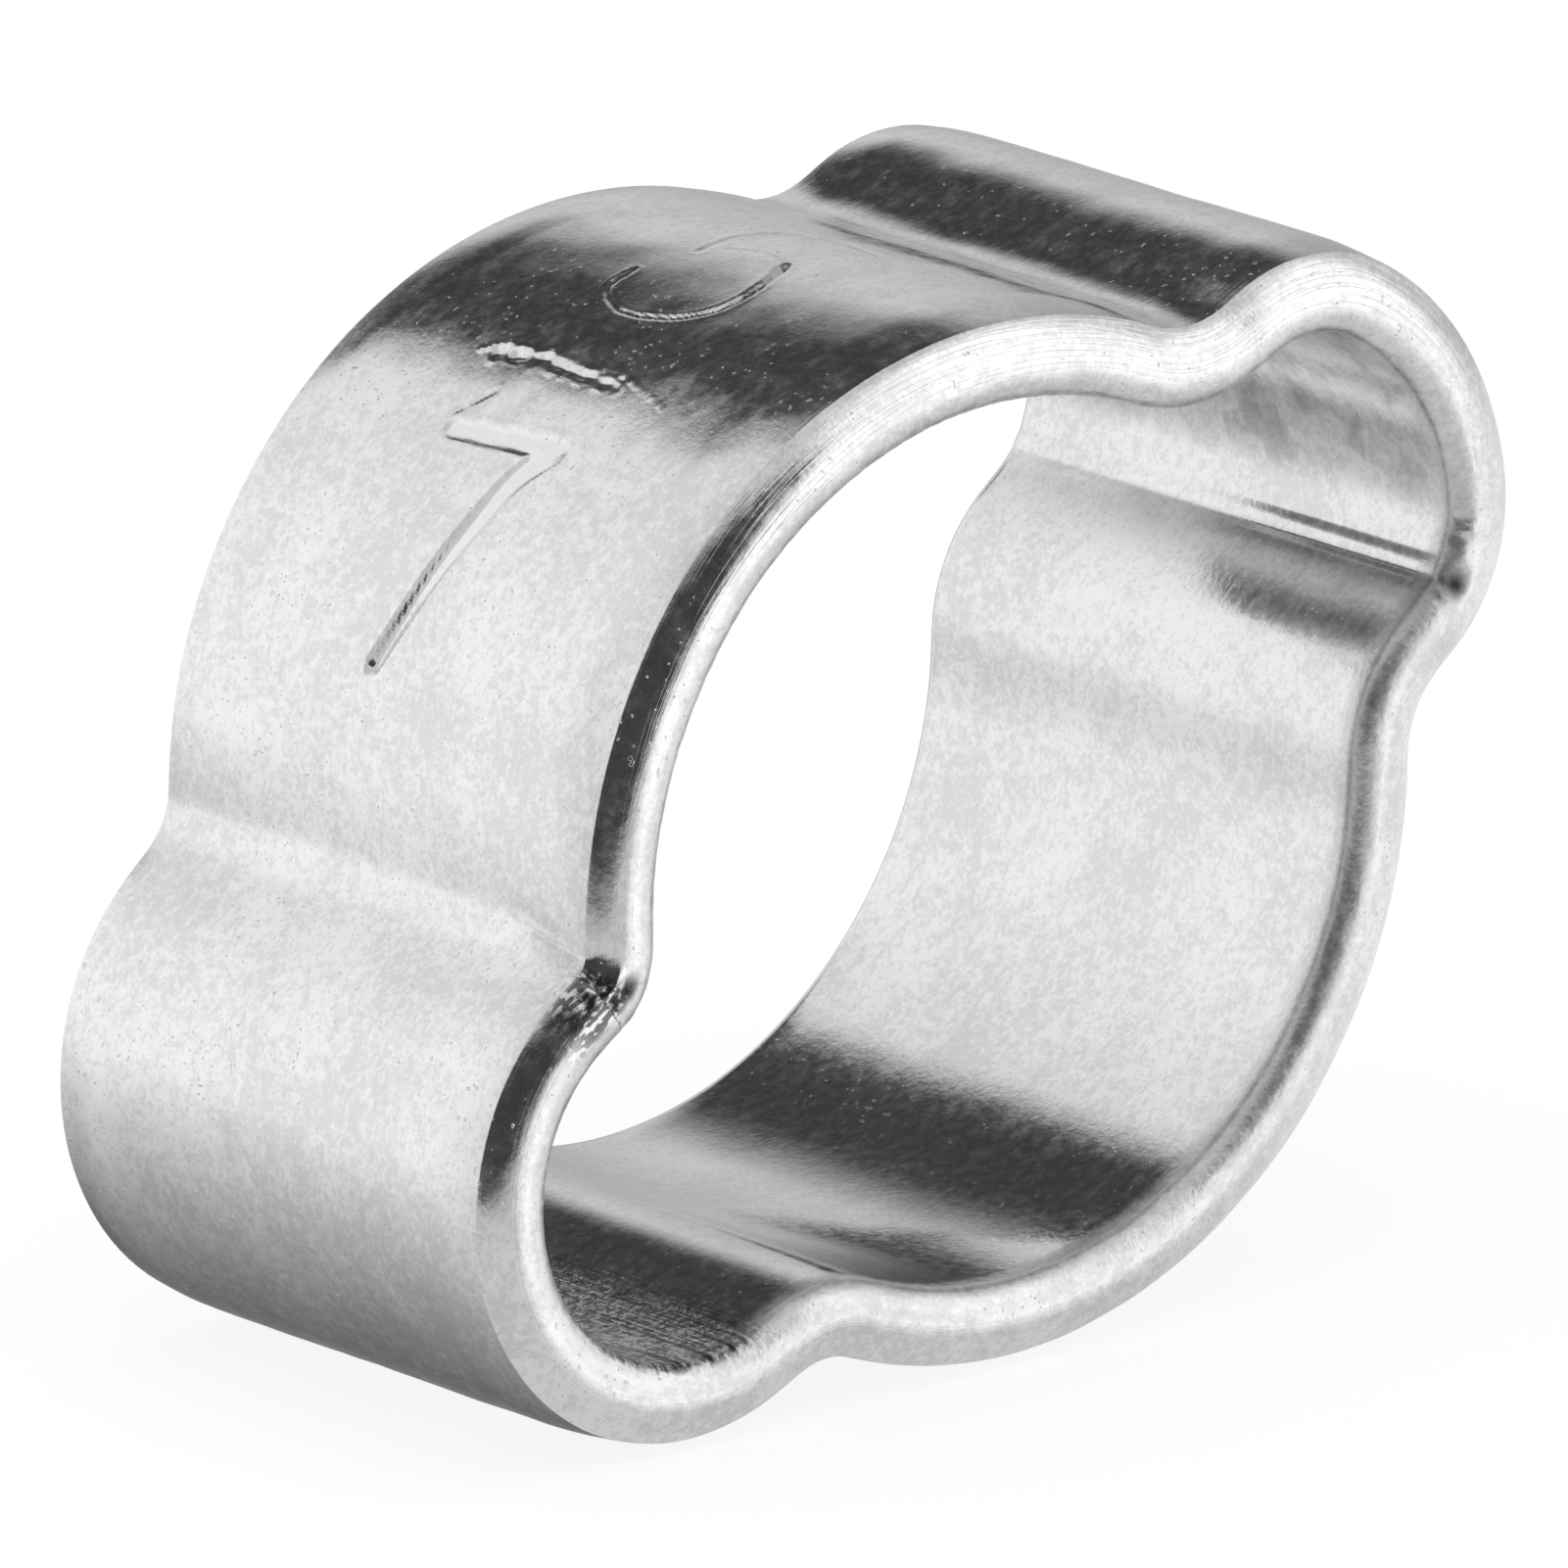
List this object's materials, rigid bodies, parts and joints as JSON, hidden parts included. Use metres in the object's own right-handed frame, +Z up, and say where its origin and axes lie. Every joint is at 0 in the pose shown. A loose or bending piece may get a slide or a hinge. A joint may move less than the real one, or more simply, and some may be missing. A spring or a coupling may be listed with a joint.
{
  "type": "ear hose clamp",
  "caption": "Closed steel band cut from tube, with a pressed-out ear on each side that is pinched to shrink the band around a small hose.",
  "frame": {"origin": "centre of the bore, half way along the band's width", "axes": "+Y along the bore, +Z up as the clamp lies at rest, +X towards the raised ear"},
  "size_m": [0.0107, 0.0054, 0.0084],
  "materials": {
    "zinc_plated_steel": "tumbled steel with a semi-bright zinc plate"
  },
  "bodies": {
    "root": {"clamp_band": "zinc_plated_steel"}
  },
  "joints": []
}
